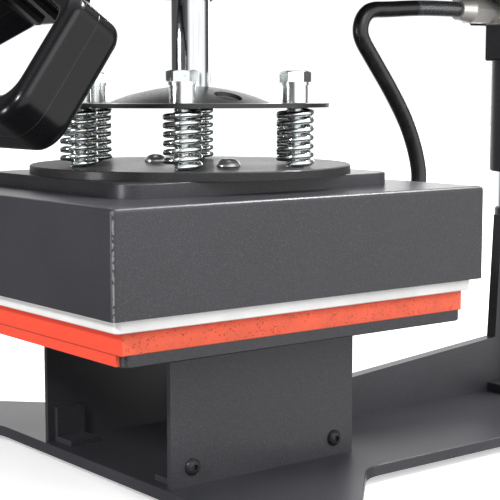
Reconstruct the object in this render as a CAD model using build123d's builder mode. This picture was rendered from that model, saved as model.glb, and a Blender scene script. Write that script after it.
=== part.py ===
from build123d import *
import math
import os

os.makedirs("parts", exist_ok=True)

# Rotary heat press, millimetres, standing on Z = 0 with the operator at -Y.
# The press shaft and the column share the X = 0 plane.

SHAFT_Y = -120.0
COLUMN_Y = SHAFT_Y + 370.0
CLEAR = 0.3
RUNNING = 0.05

# Base
FOOT_R = 15.0
BASE_Z = 5.0
BASE_T = 8.0
BASE_TOP = BASE_Z + BASE_T
BODY_HALF = 124.0
FRONT_Y = SHAFT_Y - 82.0
REAR_Y = SHAFT_Y + 440.0
LEG_X = 222.0
LEG_Y = SHAFT_Y - 88.0
LEG_R = 38.0
PEDESTAL_HALF = 84.0
PEDESTAL_FRONT = SHAFT_Y - 78.0
PEDESTAL_DEPTH = 164.0
PEDESTAL_T = 4.0
PLATEN_HALF = 131.0
PLATEN_FRONT = SHAFT_Y - 143.0
PLATEN_REAR = SHAFT_Y + 151.0
PLATEN_Z = 111.2
PLATEN_T = 8.0
PAD_T = 15.0
PAD_TOP = PLATEN_Z + PLATEN_T + PAD_T

# Column
POST_R = 23.0
POST_TOP = 303.6
SOCKET_R = 25.0
SOCKET_TOP = 176.0
TUBE_R = 30.4
TUBE_BOTTOM = 208.0
BUSH_R = 26.0
COLUMN_BOLT_X = 33.0
COLUMN_BOLT_R = 4.0
BLOCK_Z = 307.0
BLOCK_TOP = 338.0

# Heated platen
COVER_X = 144.0
COVER_Y = 160.0
COVER_BOTTOM = 143.2
COVER_TOP = 211.0
SHEET = 1.5
HEAT_X = 138.0
HEAT_Y = 154.0
HEAT_BOTTOM = PAD_TOP + CLEAR
HEAT_TOP = HEAT_BOTTOM + 15.5
TIER_X = 97.0
TIER_Y = 116.0
TIER_CORNER_R = 20.0
DISC_R = 117.5
DISC_Z = 220.7
DISC_TOP = 226.7
SCREW_X = 46.0
SCREW_R = 8.4
SCREW_H = 5.2
SCREW_SOCKET = 5.0

# Press flange, bolts and springs
FLANGE_R = 102.5
FLANGE_Z = 268.1
FLANGE_T = 3.0
DOME_R = 60.0
DOME_RISE = 12.5
BOLT_CIRCLE_R = 88.1
BOLT_PHASE = 20.8
BOLT_R = 6.0
SLEEVE_R = 9.0
SLEEVE_RIM = 0.7
HEAD_Z = 285.9
HEAD_H = 7.7
SPRING_WIRE = 4.2
SPRING_MEAN_R = 11.4
COIL_START = math.radians(-50)

# Press shaft, cam and lever
SHAFT_R = 14.0
LIFT = 30.0
LEVER_TURN = math.radians(80)
AXLE_Z = 505.0
AXLE_R = 12.0
ROLLER_R = 12.0
ROLLER_Z = 432.7
NUT_Z = 396.0
GUIDE_Z = 347.0
GUIDE_TOP = 374.0

# Arm
CHEEK_IN = 26.0
CHEEK_T = 6.0
ARM_Z = 366.0
ARM_TOP = 420.0
ARM_REAR = COLUMN_Y + 32.0
GLAND_Y = SHAFT_Y + 332.0
GLAND_Z = 349.0

# Grip, laid out in its own plane: X across, Y up the arms
GRIP_TILT = 35.0
GRIP_T = 21.0
GRIP_ORIGIN = (0, SHAFT_Y - 180.9, 259.7)
GRIP_HALF = 97.0
GRIP_BOTTOM = -9.5
GRIP_SIDE_TOP = 79.5
NECK_X = 26.0
NECK_TOP = 122.0
SHOULDER_X = 36.0
SHOULDER_TOP = 105.5
WINDOW_HALF = 84.0
WINDOW_BOTTOM = 8.3
WINDOW_SIDE_TOP = 68.5
WINDOW_TOP_X = 30.0
WINDOW_TOP = 92.5

tilt = math.radians(GRIP_TILT)
grip_plane = Plane(origin=GRIP_ORIGIN, x_dir=(1, 0, 0), z_dir=(0, -math.cos(tilt), math.sin(tilt)))


def at_height(z, centre_y=SHAFT_Y):
    """Level plane at height z, centred on the shaft or on the column."""
    return Plane((0, centre_y, z))


def across(x):
    """Upright plane facing +X at distance x from the middle; its own X runs along the press's Y."""
    return Plane(origin=(x, 0, 0), x_dir=(0, 1, 0), z_dir=(1, 0, 0))


def facing_rear(y, z=0.0, x=0.0):
    """Upright plane that faces +Y."""
    return Plane(origin=(x, y, z), x_dir=(-1, 0, 0), z_dir=(0, 1, 0))


def half_turn(start, end, start_dir, end_dir):
    """Two arcs that join start to end and keep both directions."""
    chord = end - start
    both = start_dir + end_dir
    spread = 2 * (1 - start_dir.dot(end_dir))
    along = chord.dot(both)
    reach = (-along + math.sqrt(along**2 + spread * chord.dot(chord))) / spread
    middle = (start + end + (start_dir - end_dir) * reach) * 0.5
    middle_dir = (end - end_dir * reach) - (start + start_dir * reach)
    TangentArc(start, middle, tangent=start_dir)
    TangentArc(middle, end, tangent=middle_dir)


def coil_height(turn, turns, length, closed_pitch):
    """Height of the wire after a number of turns, with one closed turn at each end."""
    open_pitch = (length - 2 * closed_pitch) / (turns - 2)
    if turn < 1:
        return closed_pitch * turn
    if turn > turns - 1:
        return length - closed_pitch * (turns - turn)
    return closed_pitch + open_pitch * (turn - 1)


def coil_gap(mean_r, wire, turns, length, closed_pitch):
    """Least gap between neighbouring turns, measured on points."""
    steps = int(turns * 24)
    spots = []
    for i in range(steps + 1):
        turn = turns * i / steps
        angle = 2 * math.pi * turn
        z = coil_height(turn, turns, length, closed_pitch)
        spots.append(Vector(mean_r * math.cos(angle), mean_r * math.sin(angle), z))
    far = 12
    gaps = [(spots[i] - spots[j]).length for i in range(len(spots)) for j in range(i + far, len(spots))]
    return min(gaps) - wire


def coil_spring(plane, mean_r, wire, turns, length, closed_pitch):
    """Round-wire compression spring that stands on the plane, its ends closed."""
    rise = length - wire
    ends = []
    for i in range(int(turns * 2) + 1):
        turn = i / 2
        angle = COIL_START + math.pi * i
        z = wire / 2 + coil_height(turn, turns, rise, closed_pitch)
        slope = (coil_height(turn + 0.01, turns, rise, closed_pitch)
                 - coil_height(turn - 0.01, turns, rise, closed_pitch)) / 0.02 / (2 * math.pi)
        place = Vector(mean_r * math.cos(angle), mean_r * math.sin(angle), z)
        heading = Vector(-mean_r * math.sin(angle), mean_r * math.cos(angle), slope).normalized()
        ends.append((place, heading))
    with BuildPart() as spring:
        with BuildLine() as wire_path:
            for (p0, d0), (p1, d1) in zip(ends, ends[1:]):
                half_turn(p0, p1, d0, d1)
        with BuildSketch(Plane(origin=ends[0][0], z_dir=ends[0][1])):
            Circle(wire / 2)
        sweep(path=wire_path.wires()[0])
    return spring.part.moved(plane.location)


def hex_bolt(plane, shank_r, reach, flats, head):
    """Hexagon bolt whose head stands on the plane and whose shank goes down through it."""
    with BuildPart() as bolt:
        with BuildSketch():
            RegularPolygon(flats / math.sqrt(3), 6)
        extrude(amount=head)
        chamfer(bolt.faces().sort_by(Axis.Z)[-1].edges(), head * 0.12)
        with BuildSketch():
            Circle(shank_r)
        extrude(amount=-reach)
    return bolt.part.moved(plane.location)


def dome_screw(plane, head_r, head_h, socket_flats):
    """Button-head socket screw standing on the plane."""
    with BuildPart() as screw:
        with BuildSketch(Plane.XZ):
            with BuildLine():
                Line((0, 0), (head_r, 0))
                Line((head_r, 0), (head_r, head_h * 0.2))
                ThreePointArc((head_r, head_h * 0.2), (head_r * 0.76, head_h * 0.72), (head_r * 0.42, head_h))
                Line((head_r * 0.42, head_h), (0, head_h))
                Line((0, head_h), (0, 0))
            make_face()
        revolve(axis=Axis.Z)
        with BuildSketch(Plane.XY.offset(head_h)):
            RegularPolygon(socket_flats / math.sqrt(3), 6)
        extrude(amount=-head_h * 0.55, mode=Mode.SUBTRACT)
    return screw.part.moved(plane.location)


def ring(plane, outer_r, inner_r, height):
    """Plain ring standing on the plane."""
    with BuildPart() as tube:
        with BuildSketch(plane):
            Circle(outer_r)
            Circle(inner_r, mode=Mode.SUBTRACT)
        extrude(amount=height)
    return tube.part


# Base plate: a long body with two front legs splayed at 45 degrees
LEG_OFFSET = LEG_R * math.sqrt(0.5)
LEG_FRONT_X = LEG_X - LEG_OFFSET
LEG_FRONT_Y = LEG_Y - LEG_OFFSET
LEG_BACK_X = LEG_X + LEG_OFFSET
LEG_BACK_Y = LEG_Y + LEG_OFFSET
FRONT_MEET_X = LEG_FRONT_X - (FRONT_Y - LEG_FRONT_Y)
SIDE_MEET_Y = LEG_BACK_Y + (LEG_BACK_X - BODY_HALF)
with BuildPart() as base_plate:
    with BuildSketch(Plane.XY.offset(BASE_Z)):
        with BuildLine():
            Polyline((0, FRONT_Y), (FRONT_MEET_X, FRONT_Y), (LEG_FRONT_X, LEG_FRONT_Y))
            ThreePointArc((LEG_FRONT_X, LEG_FRONT_Y), (LEG_BACK_X, LEG_FRONT_Y), (LEG_BACK_X, LEG_BACK_Y))
            Polyline((LEG_BACK_X, LEG_BACK_Y), (BODY_HALF, SIDE_MEET_Y), (BODY_HALF, REAR_Y), (0, REAR_Y))
            mirror(about=Plane.YZ)
        make_face()
    extrude(amount=BASE_T)
    uprights = base_plate.edges().filter_by(Axis.Z)
    fillet(uprights.filter_by(lambda e: abs(abs(e.center().X) - FRONT_MEET_X) < 0.1), 60)
    uprights = base_plate.edges().filter_by(Axis.Z)
    fillet(uprights.filter_by(lambda e: abs(e.center().Y - SIDE_MEET_Y) < 0.1), 30)
    uprights = base_plate.edges().filter_by(Axis.Z)
    fillet(uprights.filter_by(lambda e: abs(e.center().Y - REAR_Y) < 0.1), 25)
    chamfer(base_plate.faces().sort_by(Axis.Z)[-1].edges(), 0.6)
    with Locations(at_height(BASE_TOP, COLUMN_Y)):
        with GridLocations(2 * COLUMN_BOLT_X, 2 * COLUMN_BOLT_X, 2, 2):
            Hole(COLUMN_BOLT_R)
base_plate.part.label = "base_plate"
export_step(base_plate.part, "parts/base_plate.step")

FOOT_SPOTS = [(-LEG_X, LEG_Y), (LEG_X, LEG_Y), (-98, REAR_Y - 30), (98, REAR_Y - 30)]
with BuildPart() as rubber_feet:
    with BuildSketch():
        with Locations(*FOOT_SPOTS):
            Circle(FOOT_R - 2)
    extrude(amount=BASE_Z, taper=-20)
rubber_feet.part.label = "rubber_feet"
export_step(rubber_feet.part, "parts/rubber_feet.step")

# Pedestal: sheet folded to an upside-down U, open to the front and the rear
with BuildPart() as pedestal:
    with BuildSketch(Plane.XZ.offset(-PEDESTAL_FRONT)):
        with Locations((0, (BASE_TOP + PLATEN_Z) / 2)):
            Rectangle(2 * PEDESTAL_HALF, PLATEN_Z - BASE_TOP)
    extrude(amount=-PEDESTAL_DEPTH)
    top_edges = pedestal.edges().filter_by(Axis.Y).group_by(Axis.Z)[-1]
    fillet(top_edges, 6)
    with BuildSketch(Plane.XZ.offset(-PEDESTAL_FRONT)):
        with Locations((0, (BASE_TOP + PLATEN_Z - PEDESTAL_T) / 2)):
            Rectangle(2 * (PEDESTAL_HALF - PEDESTAL_T), PLATEN_Z - PEDESTAL_T - BASE_TOP)
    extrude(amount=-PEDESTAL_DEPTH, mode=Mode.SUBTRACT)
pedestal.part.label = "pedestal"
export_step(pedestal.part, "parts/pedestal.step")

# Lugs: short angles that tie the pedestal's walls to the base, with a screw through each wall
LUG_Y = [PEDESTAL_FRONT + 18, PEDESTAL_FRONT + PEDESTAL_DEPTH - 18]
LUG_Z = BASE_TOP + 13.0
with BuildPart() as pedestal_lugs:
    for side in (-1, 1):
        for lug_y in LUG_Y:
            wall = PEDESTAL_HALF - PEDESTAL_T
            with BuildSketch(Plane.XZ.offset(-lug_y)):
                with BuildLine():
                    Polyline((side * wall, BASE_TOP), (side * wall, BASE_TOP + 26),
                             (side * (wall - 4), BASE_TOP + 26), (side * (wall - 4), BASE_TOP + 4),
                             (side * (wall - 24), BASE_TOP + 4), (side * (wall - 24), BASE_TOP),
                             (side * wall, BASE_TOP))
                make_face()
            extrude(amount=12, both=True)
pedestal_lugs.part.label = "pedestal_lugs"
export_step(pedestal_lugs.part, "parts/pedestal_lugs.step")

screws = []
for side in (-1, 1):
    for lug_y in LUG_Y:
        face = Plane(origin=(side * PEDESTAL_HALF, lug_y, LUG_Z), x_dir=(0, 1, 0), z_dir=(side, 0, 0))
        screws.append(dome_screw(face, 6.0, 3.6, 4.0))
with BuildPart() as pedestal_screws:
    add(screws)
pedestal_screws.part.label = "pedestal_screws"
export_step(pedestal_screws.part, "parts/pedestal_screws.step")

PLATEN_MID = (PLATEN_FRONT + PLATEN_REAR) / 2
with BuildPart() as lower_platen:
    with BuildSketch(Plane((0, PLATEN_MID, PLATEN_Z))):
        RectangleRounded(2 * PLATEN_HALF, PLATEN_REAR - PLATEN_FRONT, 5)
    extrude(amount=PLATEN_T)
    chamfer(lower_platen.faces().sort_by(Axis.Z)[0].edges(), 0.8)
lower_platen.part.label = "lower_platen"
export_step(lower_platen.part, "parts/lower_platen.step")

# Silicone pad: covers the platen and hangs over its front edge
LIP_T = 3.5
with BuildPart() as silicone_pad:
    with BuildSketch(Plane((0, PLATEN_MID - LIP_T / 2, PLATEN_Z + PLATEN_T))):
        RectangleRounded(2 * PLATEN_HALF, PLATEN_REAR - PLATEN_FRONT + LIP_T, 5)
    extrude(amount=PAD_T)
    fillet(silicone_pad.faces().sort_by(Axis.Z)[-1].edges(), 1.2)
    with BuildSketch(Plane((0, PLATEN_FRONT - LIP_T / 2, PLATEN_Z + PLATEN_T))):
        Rectangle(2 * PLATEN_HALF - 14, LIP_T)
    extrude(amount=-(PLATEN_T - 0.6))
silicone_pad.part.label = "silicone_pad"
export_step(silicone_pad.part, "parts/silicone_pad.step")

# Gusset: upright plate that sweeps from the base up to the column
GUSSET_T = 10.0
GUSSET_FRONT = PEDESTAL_FRONT + PEDESTAL_DEPTH + 6
SOCKET_FRONT = COLUMN_Y - SOCKET_R
with BuildPart() as gusset_plate:
    with BuildSketch(across(-GUSSET_T / 2)) as gusset_outline:
        with BuildLine():
            Polyline((GUSSET_FRONT, BASE_TOP), (GUSSET_FRONT, 41), (SHAFT_Y + 331, 61),
                     (SHAFT_Y + 337, SOCKET_TOP - 6), (SOCKET_FRONT, SOCKET_TOP - 6),
                     (SOCKET_FRONT, BASE_TOP), (GUSSET_FRONT, BASE_TOP))
        make_face()
        corners = gusset_outline.vertices()
        fillet(corners.filter_by(lambda v: abs(v.Y - SHAFT_Y - 331) < 1 and v.Z < 70), 68)
        fillet(gusset_outline.vertices().filter_by(lambda v: abs(v.Y - GUSSET_FRONT) < 0.1 and v.Z > 30), 12)
        fillet(gusset_outline.vertices().filter_by(lambda v: abs(v.Y - SHAFT_Y - 337) < 1 and v.Z > 150), 5)
    extrude(amount=GUSSET_T)
gusset_plate.part.label = "gusset_plate"
export_step(gusset_plate.part, "parts/gusset_plate.step")

with BuildPart() as column_socket:
    with BuildSketch(at_height(BASE_TOP, COLUMN_Y)):
        Circle(SOCKET_R)
        Circle(POST_R, mode=Mode.SUBTRACT)
    extrude(amount=SOCKET_TOP - BASE_TOP)
    chamfer(column_socket.edges().group_by(Axis.Z)[-1].sort_by(SortBy.RADIUS)[-1], 1)
column_socket.part.label = "column_socket"
export_step(column_socket.part, "parts/column_socket.step")

# Foot ring of the column, split by the gusset, with its bolts
with BuildPart() as column_flange:
    with BuildSketch(at_height(BASE_TOP, COLUMN_Y)):
        RectangleRounded(96, 96, 12)
        Circle(SOCKET_R, mode=Mode.SUBTRACT)
        with Locations((0, -40)):
            Rectangle(GUSSET_T, 40, mode=Mode.SUBTRACT)
        with GridLocations(2 * COLUMN_BOLT_X, 2 * COLUMN_BOLT_X, 2, 2):
            Circle(COLUMN_BOLT_R, mode=Mode.SUBTRACT)
    extrude(amount=BASE_T)
    chamfer(column_flange.faces().sort_by(Axis.Z)[-1].edges().filter_by(GeomType.LINE), 0.6)
column_flange.part.label = "column_flange"
export_step(column_flange.part, "parts/column_flange.step")

bolts = []
for side in (-1, 1):
    for end in (-1, 1):
        head = Plane((side * COLUMN_BOLT_X, COLUMN_Y + end * COLUMN_BOLT_X, BASE_TOP + BASE_T))
        bolts.append(hex_bolt(head, COLUMN_BOLT_R, 2 * BASE_T, 13.0, 5.5))
with BuildPart() as column_bolts:
    add(bolts)
column_bolts.part.label = "column_bolts"
export_step(column_bolts.part, "parts/column_bolts.step")

with BuildPart() as column_post:
    with BuildSketch(at_height(BASE_TOP, COLUMN_Y)):
        Circle(POST_R)
        Circle(POST_R - 5, mode=Mode.SUBTRACT)
    extrude(amount=POST_TOP - BASE_TOP)
column_post.part.label = "column_post"
export_step(column_post.part, "parts/column_post.step")

# Head: everything that swings about the column
with BuildPart() as swivel_tube:
    with BuildSketch(at_height(TUBE_BOTTOM, COLUMN_Y)):
        Circle(TUBE_R)
        Circle(BUSH_R, mode=Mode.SUBTRACT)
    extrude(amount=BLOCK_Z - TUBE_BOTTOM)
    fillet(swivel_tube.edges().group_by(Axis.Z)[0].sort_by(SortBy.RADIUS)[-1], 2.5)
swivel_tube.part.label = "swivel_tube"
export_step(swivel_tube.part, "parts/swivel_tube.step")

BUSH_H = 26.0
with BuildPart() as swivel_bushes:
    for bush_z in (TUBE_BOTTOM, POST_TOP - BUSH_H):
        add(ring(at_height(bush_z, COLUMN_Y), BUSH_R, POST_R + RUNNING, BUSH_H))
swivel_bushes.part.label = "swivel_bushes"
export_step(swivel_bushes.part, "parts/swivel_bushes.step")

with BuildPart() as thrust_washer:
    with BuildSketch(at_height(POST_TOP + CLEAR, COLUMN_Y)):
        Circle(POST_R)
    extrude(amount=BLOCK_Z - POST_TOP - CLEAR)
thrust_washer.part.label = "thrust_washer"
export_step(thrust_washer.part, "parts/thrust_washer.step")

BLOCK_FRONT = SHAFT_Y + 349.0
with BuildPart() as swivel_block:
    with BuildSketch(Plane((0, (BLOCK_FRONT + ARM_REAR) / 2, BLOCK_Z))):
        RectangleRounded(2 * (CHEEK_IN + CHEEK_T), ARM_REAR - BLOCK_FRONT, 4)
    extrude(amount=BLOCK_TOP - BLOCK_Z)
    fillet(swivel_block.faces().sort_by(Axis.Z)[0].edges(), 2)
swivel_block.part.label = "swivel_block"
export_step(swivel_block.part, "parts/swivel_block.step")

# Arm cheeks: two shaped plates from the column to the press shaft, rising in front to the cam's axle
CHEEK_FRONT = SHAFT_Y - 34.0
SPACER_Y = [SHAFT_Y + 90.0, SHAFT_Y + 230.0, SHAFT_Y + 375.0]
SPACER_Z = (ARM_Z + ARM_TOP) / 2
SPACER_BOLT_R = 5.0
for side, name in ((-1, "arm_cheek_left"), (1, "arm_cheek_right")):
    with BuildPart() as cheek:
        with BuildSketch(across(side * (CHEEK_IN + CHEEK_T / 2))):
            with BuildLine():
                Polyline((GLAND_Y, BLOCK_TOP), (ARM_REAR, BLOCK_TOP), (ARM_REAR, ARM_TOP),
                         (SHAFT_Y + 130, ARM_TOP), (SHAFT_Y + 34, AXLE_Z), (SHAFT_Y + 34, AXLE_Z + 1))
                ThreePointArc((SHAFT_Y + 34, AXLE_Z + 1), (SHAFT_Y, AXLE_Z + 35), (CHEEK_FRONT, AXLE_Z + 1))
                Polyline((CHEEK_FRONT, AXLE_Z + 1), (CHEEK_FRONT, GUIDE_Z), (SHAFT_Y + 38, GUIDE_Z),
                         (SHAFT_Y + 66, ARM_Z), (SHAFT_Y + 300, ARM_Z), (GLAND_Y, BLOCK_TOP))
            make_face()
            with Locations((SHAFT_Y, AXLE_Z)):
                Circle(AXLE_R, mode=Mode.SUBTRACT)
            with Locations(*[(y, SPACER_Z) for y in SPACER_Y]):
                Circle(SPACER_BOLT_R, mode=Mode.SUBTRACT)
        extrude(amount=CHEEK_T / 2, both=True)
        uprights = cheek.edges().filter_by(Axis.X)
        fillet(uprights.filter_by(lambda e: abs(e.center().Y - SHAFT_Y - 130) < 1), 40)
        uprights = cheek.edges().filter_by(Axis.X)
        fillet(uprights.filter_by(lambda e: abs(e.center().Y - SHAFT_Y - 300) < 1), 18)
        uprights = cheek.edges().filter_by(Axis.X)
        fillet(uprights.filter_by(lambda e: e.center().Y > ARM_REAR - 1 and e.center().Z > ARM_TOP - 1), 12)
    cheek.part.label = name
    export_step(cheek.part, f"parts/{name}.step")

# Plates that close the arm below and above
with BuildPart() as arm_bottom_plate:
    with BuildSketch(Plane((0, SHAFT_Y + 183, ARM_Z))):
        Rectangle(2 * CHEEK_IN, 230)
    extrude(amount=3)
arm_bottom_plate.part.label = "arm_bottom_plate"
export_step(arm_bottom_plate.part, "parts/arm_bottom_plate.step")

ARM_COVER_FRONT = SHAFT_Y + 150.0
with BuildPart() as arm_top_plate:
    with BuildSketch(Plane((0, (ARM_COVER_FRONT + ARM_REAR) / 2, ARM_TOP - 3))):
        Rectangle(2 * CHEEK_IN, ARM_REAR - ARM_COVER_FRONT - 24)
    extrude(amount=3)
arm_top_plate.part.label = "arm_top_plate"
export_step(arm_top_plate.part, "parts/arm_top_plate.step")

with BuildPart() as arm_spacers:
    for y in SPACER_Y:
        add(ring(Plane(origin=(-CHEEK_IN, y, SPACER_Z), x_dir=(0, 1, 0), z_dir=(1, 0, 0)),
                 9.0, SPACER_BOLT_R, 2 * CHEEK_IN))
arm_spacers.part.label = "arm_spacers"
export_step(arm_spacers.part, "parts/arm_spacers.step")

bolts = []
CHEEK_OUT = CHEEK_IN + CHEEK_T
for y in SPACER_Y:
    for side in (-1, 1):
        face = Plane(origin=(side * CHEEK_OUT, y, SPACER_Z), x_dir=(0, 1, 0), z_dir=(side, 0, 0))
        bolts.append(hex_bolt(face, SPACER_BOLT_R, CHEEK_OUT - CLEAR, 17.0, 6.4))
with BuildPart() as arm_bolts:
    add(bolts)
arm_bolts.part.label = "arm_bolts"
export_step(arm_bolts.part, "parts/arm_bolts.step")

with BuildPart() as guide_housing:
    with BuildSketch(at_height(GUIDE_Z)):
        Rectangle(2 * CHEEK_IN, 60)
        Circle(SHAFT_R + 3, mode=Mode.SUBTRACT)
    extrude(amount=GUIDE_TOP - GUIDE_Z)
    fillet(guide_housing.edges().filter_by(Axis.X).group_by(Axis.Z)[0], 3)
guide_housing.part.label = "guide_housing"
export_step(guide_housing.part, "parts/guide_housing.step")

with BuildPart() as guide_bush:
    add(ring(at_height(GUIDE_Z), SHAFT_R + 3, SHAFT_R + RUNNING, GUIDE_TOP - GUIDE_Z))
guide_bush.part.label = "guide_bush"
export_step(guide_bush.part, "parts/guide_bush.step")

with BuildPart() as cam_axle:
    with BuildSketch(Plane(origin=(-CHEEK_OUT - 5, SHAFT_Y, AXLE_Z), x_dir=(0, 1, 0), z_dir=(1, 0, 0))):
        Circle(AXLE_R)
    extrude(amount=2 * (CHEEK_OUT + 5))
    chamfer(cam_axle.edges().filter_by(GeomType.CIRCLE), 1)
cam_axle.part.label = "cam_axle"
export_step(cam_axle.part, "parts/cam_axle.step")

RETURN_LENGTH = NUT_Z - GUIDE_TOP - 0.2
return_spring = coil_spring(at_height(GUIDE_TOP), 18.5, 3.0, 4.5, RETURN_LENGTH, 3.6)
return_spring.label = "return_spring"
export_step(return_spring, "parts/return_spring.step")
print("return spring gap", round(coil_gap(18.5, 3.0, 4.5, RETURN_LENGTH - 3.0, 3.6), 2))

# Cable gland on the front of the arm's rear box, with the plate that carries it
with BuildPart() as gland_plate:
    with BuildSketch(facing_rear(GLAND_Y + 3, (BLOCK_TOP + ARM_Z) / 2)):
        Rectangle(2 * CHEEK_IN, ARM_Z - BLOCK_TOP)
        with Locations((0, GLAND_Z - (BLOCK_TOP + ARM_Z) / 2)):
            Circle(7.0, mode=Mode.SUBTRACT)
    extrude(amount=3)
gland_plate.part.label = "gland_plate"
export_step(gland_plate.part, "parts/gland_plate.step")

gland_face = Plane(origin=(0, GLAND_Y + 3, GLAND_Z), x_dir=(1, 0, 0), z_dir=(0, -1, 0))
with BuildPart() as gland_body:
    with BuildSketch(gland_face):
        Circle(7.0)
    extrude(amount=-3)
    with BuildSketch(gland_face):
        Circle(10.8)
    extrude(amount=20)
    with BuildSketch(gland_face.offset(3)):
        RegularPolygon(13.0, 6)
    extrude(amount=8)
gland_body.part.label = "gland_body"
export_step(gland_body.part, "parts/gland_body.step")

GLAND_END = SHAFT_Y + 280.0
NUT_LENGTH = GLAND_Y + 3 - 20 - GLAND_END
with BuildPart() as gland_nut:
    with BuildSketch(gland_face.offset(20)):
        RegularPolygon(12.4, 6)
    extrude(amount=NUT_LENGTH * 0.6)
    with BuildSketch(gland_face.offset(20 + NUT_LENGTH * 0.6)):
        Circle(11.2)
    extrude(amount=NUT_LENGTH * 0.4, taper=10)
gland_nut.part.label = "gland_nut"
export_step(gland_nut.part, "parts/gland_nut.step")

# Braided cable sleeve from the heated platen's rear wall up to the gland, in the X = 0 plane
CABLE_R = 6.5
CABLE_START = 198.0
CABLE_Z = 178.0
CABLE_ROUTE = [
    (CABLE_START, 178.0), (216, 178.0), (231, 187.9), (238.1, 204.3), (233.5, 227), (222, 253),
    (204, 279), (181.3, 306.7), (169.3, 321.5), (168, 331), (171.9, 339.8), (179.8, 345.2),
    (197, 345.8), (230, 348.3), (258, 349), (280, 349),
]
route = [Vector(0, SHAFT_Y + y, z) for y, z in CABLE_ROUTE]
radii = []
for before, here, after in zip(route, route[1:], route[2:]):
    turn = math.radians((here - before).get_angle(after - here))
    shorter = min((here - before).length, (after - here).length)
    radii.append(0.45 * shorter / math.tan(turn / 2))
print("cable radii", [round(r, 1) for r in radii])
with BuildPart() as cable_sleeve:
    with BuildLine() as cable_line:
        FilletPolyline(*route, radius=radii)
    with BuildSketch(Plane(origin=route[0], z_dir=route[1] - route[0])):
        Circle(CABLE_R)
    sweep(path=cable_line.wires()[0])
cable_length = cable_line.wires()[0].length
print("cable length", round(cable_length, 1), "volume ratio",
      round(cable_sleeve.part.volume / (math.pi * CABLE_R**2 * cable_length), 4))
cable_sleeve.part.label = "cable_sleeve"
export_step(cable_sleeve.part, "parts/cable_sleeve.step")

# Control box on top of the arm, with its panel, display, buttons, power switch and mains inlet
BOX_X = 72.0
BOX_FRONT = SHAFT_Y + 300.0
BOX_REAR = COLUMN_Y + 50.0
BOX_TOP = ARM_TOP + 78.0
BOX_WALL = 2.0
BOX_MID = Plane((0, (BOX_FRONT + BOX_REAR) / 2, ARM_TOP))
INLET_X = -30.0
SWITCH_X = 35.0
SOCKET_Z = ARM_TOP + 36.0
with BuildPart() as control_box:
    with BuildSketch(BOX_MID):
        Rectangle(2 * BOX_X, BOX_REAR - BOX_FRONT)
    extrude(amount=BOX_TOP - ARM_TOP)
    fillet(control_box.edges().filter_by(Axis.Y).group_by(Axis.Z)[-1], 6)
    offset(amount=-BOX_WALL, openings=control_box.faces().sort_by(Axis.Y)[0])
    with BuildSketch(facing_rear(BOX_REAR - BOX_WALL, SOCKET_Z)):
        with Locations((-INLET_X, 0)):
            Rectangle(28, 20)
        with Locations((-SWITCH_X, 0)):
            Rectangle(15, 22)
    extrude(amount=BOX_WALL, mode=Mode.SUBTRACT)
control_box.part.label = "control_box"
export_step(control_box.part, "parts/control_box.step")

PANEL_Z = (ARM_TOP + BOX_TOP) / 2
panel_face = Plane(origin=(0, BOX_FRONT - 3, PANEL_Z), x_dir=(1, 0, 0), z_dir=(0, -1, 0))
BUTTON_X = [14.0, 34.0, 54.0]
BUTTON_R = 5.5
BUTTON_DROP = -14.0
with BuildPart() as control_panel:
    with BuildSketch(panel_face):
        RectangleRounded(2 * BOX_X, BOX_TOP - ARM_TOP, 6)
        with Locations((-32, 8)):
            Rectangle(54, 26, mode=Mode.SUBTRACT)
        with Locations(*[(x, BUTTON_DROP) for x in BUTTON_X]):
            Circle(BUTTON_R + CLEAR, mode=Mode.SUBTRACT)
    extrude(amount=-3)
    chamfer(control_panel.faces().sort_by(Axis.Y)[0].outer_wire().edges(), 0.8)
control_panel.part.label = "control_panel"
export_step(control_panel.part, "parts/control_panel.step")

with BuildPart() as display:
    with BuildSketch(panel_face.offset(-3)):
        with Locations((-32, 8)):
            Rectangle(54, 26)
    extrude(amount=2.2)
    with BuildSketch(panel_face.offset(-3)):
        with Locations((-32, 8)):
            Rectangle(60, 32)
    extrude(amount=-3)
display.part.label = "display"
export_step(display.part, "parts/display.step")

for x, name in zip(BUTTON_X, ("button_set", "button_up", "button_down")):
    with BuildPart() as button:
        with BuildSketch(panel_face.offset(-5)):
            with Locations((x, BUTTON_DROP)):
                Circle(BUTTON_R)
        extrude(amount=7)
        fillet(button.faces().sort_by(Axis.Y)[0].edges(), 1)
    button.part.label = name
    export_step(button.part, f"parts/{name}.step")

with BuildPart() as mains_inlet:
    inlet_face = facing_rear(BOX_REAR - BOX_WALL, SOCKET_Z, INLET_X)
    with BuildSketch(inlet_face):
        Rectangle(28, 20)
    extrude(amount=BOX_WALL)
    with BuildSketch(inlet_face.offset(BOX_WALL)):
        RectangleRounded(32, 24, 3)
    extrude(amount=2)
    with BuildSketch(inlet_face):
        RectangleRounded(26, 18, 2)
    extrude(amount=-18)
    with BuildSketch(inlet_face.offset(BOX_WALL + 2)):
        with BuildLine():
            Polyline((-11.5, -7.5), (11.5, -7.5), (11.5, 3), (7, 7.5), (-7, 7.5), (-11.5, 3), (-11.5, -7.5))
        make_face()
    extrude(amount=-16, mode=Mode.SUBTRACT)
mains_inlet.part.label = "mains_inlet"
export_step(mains_inlet.part, "parts/mains_inlet.step")

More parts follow.
